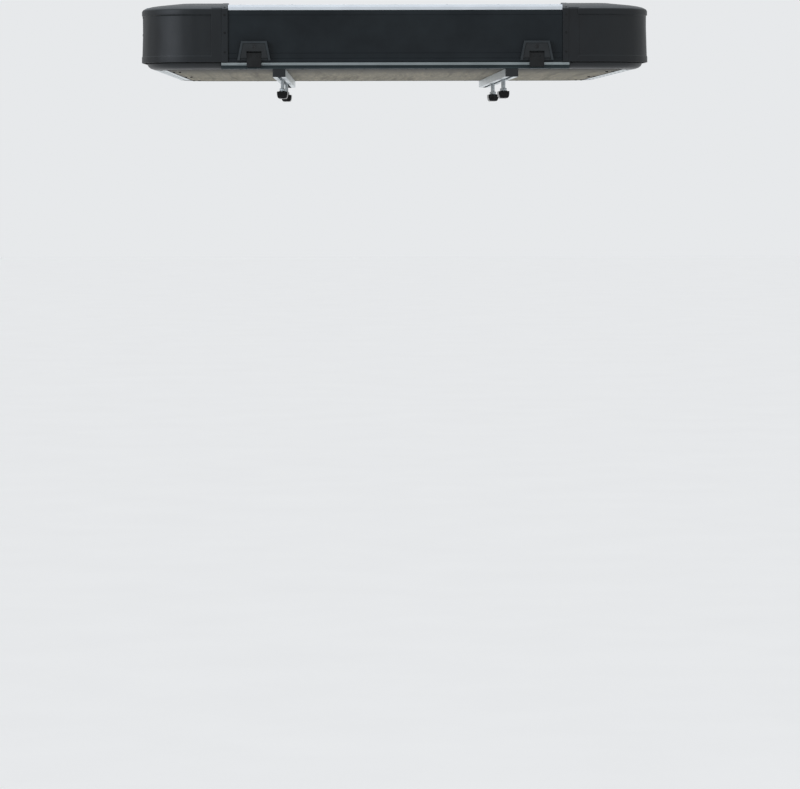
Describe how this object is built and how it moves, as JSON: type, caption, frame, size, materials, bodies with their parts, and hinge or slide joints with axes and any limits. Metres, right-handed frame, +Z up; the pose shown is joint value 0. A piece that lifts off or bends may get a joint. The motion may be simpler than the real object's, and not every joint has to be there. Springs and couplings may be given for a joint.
{
  "type": "roof cargo box",
  "caption": "Wide flat hard-shell roof cargo box with a hinged lid, draw latches, gas struts, moulded corners and crossbar clamps on two rails.",
  "frame": {"origin": "centred under the box, on the lowest faces of the clamp jaws", "axes": "+Y runs from the latch end to the hinge end, +X to the right seen from the latch end, +Z up"},
  "size_m": [1.388, 2.1346, 0.2546],
  "materials": {
    "plywood": "birch plywood panel, clear coat",
    "felt_mat": "grey-black felt liner",
    "anodised_aluminium": "satin clear anodised",
    "black_anodised": "black anodised, fine lengthwise drawing lines",
    "black_moulding": "moulded black plastic, soft sheen, slightly wavy",
    "seal_rubber": "black foam rubber",
    "zinc_steel": "zinc plated",
    "black_steel": "black powder coat",
    "latch_plastic": "glass-filled black nylon, fine grain",
    "lock_brass": "nickel-dull brass"
  },
  "bodies": {
    "base": {"floor_panel": "plywood", "floor_mat": "felt_mat", "base_front_rail": "anodised_aluminium", "base_right_rail": "anodised_aluminium", "base_rear_rail": "anodised_aluminium", "base_left_rail": "anodised_aluminium", "base_corner_front_right": "black_moulding", "base_corner_rear_right": "black_moulding", "base_corner_rear_left": "black_moulding", "base_corner_front_left": "black_moulding", "mount_rail_left": "anodised_aluminium", "hinge_base_leaf_left": "zinc_steel", "hinge_pin_left": "zinc_steel", "strut_foot_left": "black_steel", "rail_end_cap_front_left": "black_moulding", "rail_end_cap_rear_left": "black_moulding", "mount_rail_right": "anodised_aluminium", "hinge_base_leaf_right": "zinc_steel", "hinge_pin_right": "zinc_steel", "strut_foot_right": "black_steel", "rail_end_cap_front_right": "black_moulding", "rail_end_cap_rear_right": "black_moulding"},
    "lid": {"roof_panel": "anodised_aluminium", "lid_seal": "seal_rubber", "lid_front_rail": "black_anodised", "lid_right_rail": "black_anodised", "lid_rear_rail": "black_anodised", "lid_left_rail": "black_anodised", "lid_corner_front_right": "black_moulding", "lid_corner_rear_right": "black_moulding", "lid_corner_rear_left": "black_moulding", "lid_corner_front_left": "black_moulding", "roof_bow_front": "anodised_aluminium", "roof_bow_rear": "anodised_aluminium", "hinge_lid_leaf_left": "zinc_steel", "strut_head_left": "black_steel", "latch_housing_left": "latch_plastic", "hinge_lid_leaf_right": "zinc_steel", "strut_head_right": "black_steel", "latch_housing_right": "latch_plastic"},
    "latch_lever_left": {"latch_lever_left": "latch_plastic"},
    "latch_hook_left": {"latch_hook_left": "black_steel"},
    "latch_lock_left": {"latch_lock_left": "lock_brass"},
    "strut_cylinder_left": {"strut_cylinder_left": "black_steel"},
    "strut_rod_left": {"strut_rod_left": "zinc_steel"},
    "clamp_carriage_front_left": {"clamp_carriage_front_left": "zinc_steel"},
    "clamp_jaw_front_left": {"clamp_jaw_front_left": "black_steel"},
    "clamp_carriage_rear_left": {"clamp_carriage_rear_left": "zinc_steel"},
    "clamp_jaw_rear_left": {"clamp_jaw_rear_left": "black_steel"},
    "latch_lever_right": {"latch_lever_right": "latch_plastic"},
    "latch_hook_right": {"latch_hook_right": "black_steel"},
    "latch_lock_right": {"latch_lock_right": "lock_brass"},
    "strut_cylinder_right": {"strut_cylinder_right": "black_steel"},
    "strut_rod_right": {"strut_rod_right": "zinc_steel"},
    "clamp_carriage_front_right": {"clamp_carriage_front_right": "zinc_steel"},
    "clamp_jaw_front_right": {"clamp_jaw_front_right": "black_steel"},
    "clamp_carriage_rear_right": {"clamp_carriage_rear_right": "zinc_steel"},
    "clamp_jaw_rear_right": {"clamp_jaw_rear_right": "black_steel"}
  },
  "joints": [
    {"name": "lid_open", "type": "hinge", "parent": "base", "child": "lid", "pos_m": [0, 1.0598, 0.0921], "axis": [-1, 0, 0], "range_deg": [0, 30]},
    {"name": "strut_tilt_left", "type": "hinge", "parent": "base", "child": "strut_cylinder_left", "pos_m": [-0.639, 0.8598, 0.1071], "axis": [-1, 0, 0], "range_deg": [0, 44.09]},
    {"name": "strut_slide_left", "type": "slide", "parent": "strut_cylinder_left", "child": "strut_rod_left", "axis": [0, -0.9487, 0.3162], "range_m": [0, 0.062]},
    {"name": "latch_release_left", "type": "hinge", "parent": "lid", "child": "latch_lever_left", "pos_m": [-0.383, -1.0593, 0.1075], "axis": [1, 0, 0], "range_deg": [0, 95]},
    {"name": "hook_swing_left", "type": "hinge", "parent": "latch_lever_left", "child": "latch_hook_left", "pos_m": [-0.383, -1.0593, 0.1155], "axis": [1, 0, 0], "range_deg": [-115, 0]},
    {"name": "lock_turn_left", "type": "hinge", "parent": "latch_lever_left", "child": "latch_lock_left", "pos_m": [-0.383, -1.0593, 0.133], "axis": [0, 1, 0], "range_deg": [0, 90]},
    {"name": "clamp_slide_front_left", "type": "slide", "parent": "base", "child": "clamp_carriage_front_left", "axis": [0, 1, 0], "range_m": [-0.4, 0.2]},
    {"name": "jaw_travel_front_left", "type": "slide", "parent": "clamp_carriage_front_left", "child": "clamp_jaw_front_left", "axis": [0, 0, 1], "range_m": [-0.012, 0]},
    {"name": "clamp_slide_rear_left", "type": "slide", "parent": "base", "child": "clamp_carriage_rear_left", "axis": [0, 1, 0], "range_m": [-0.2, 0.5]},
    {"name": "jaw_travel_rear_left", "type": "slide", "parent": "clamp_carriage_rear_left", "child": "clamp_jaw_rear_left", "axis": [0, 0, 1], "range_m": [-0.012, 0]},
    {"name": "strut_tilt_right", "type": "hinge", "parent": "base", "child": "strut_cylinder_right", "pos_m": [0.639, 0.8598, 0.1071], "axis": [-1, 0, 0], "range_deg": [0, 44.09]},
    {"name": "strut_slide_right", "type": "slide", "parent": "strut_cylinder_right", "child": "strut_rod_right", "axis": [0, -0.9487, 0.3162], "range_m": [0, 0.062]},
    {"name": "latch_release_right", "type": "hinge", "parent": "lid", "child": "latch_lever_right", "pos_m": [0.383, -1.0593, 0.1075], "axis": [1, 0, 0], "range_deg": [0, 95]},
    {"name": "hook_swing_right", "type": "hinge", "parent": "latch_lever_right", "child": "latch_hook_right", "pos_m": [0.383, -1.0593, 0.1155], "axis": [1, 0, 0], "range_deg": [-115, 0]},
    {"name": "lock_turn_right", "type": "hinge", "parent": "latch_lever_right", "child": "latch_lock_right", "pos_m": [0.383, -1.0593, 0.133], "axis": [0, 1, 0], "range_deg": [0, 90]},
    {"name": "clamp_slide_front_right", "type": "slide", "parent": "base", "child": "clamp_carriage_front_right", "axis": [0, 1, 0], "range_m": [-0.4, 0.2]},
    {"name": "jaw_travel_front_right", "type": "slide", "parent": "clamp_carriage_front_right", "child": "clamp_jaw_front_right", "axis": [0, 0, 1], "range_m": [-0.012, 0]},
    {"name": "clamp_slide_rear_right", "type": "slide", "parent": "base", "child": "clamp_carriage_rear_right", "axis": [0, 1, 0], "range_m": [-0.2, 0.5]},
    {"name": "jaw_travel_rear_right", "type": "slide", "parent": "clamp_carriage_rear_right", "child": "clamp_jaw_rear_right", "axis": [0, 0, 1], "range_m": [-0.012, 0]}
  ],
  "couplings": [
    {"joint": "strut_tilt_left", "follows": "lid_open", "ratio": 1.4628},
    {"joint": "strut_slide_left", "follows": "lid_open", "m_per_rad": 0.11766},
    {"joint": "hook_swing_left", "follows": "latch_release_left", "ratio": -1.2105},
    {"joint": "strut_tilt_right", "follows": "lid_open", "ratio": 1.4628},
    {"joint": "strut_slide_right", "follows": "lid_open", "m_per_rad": 0.11766},
    {"joint": "hook_swing_right", "follows": "latch_release_right", "ratio": -1.2105}
  ]
}
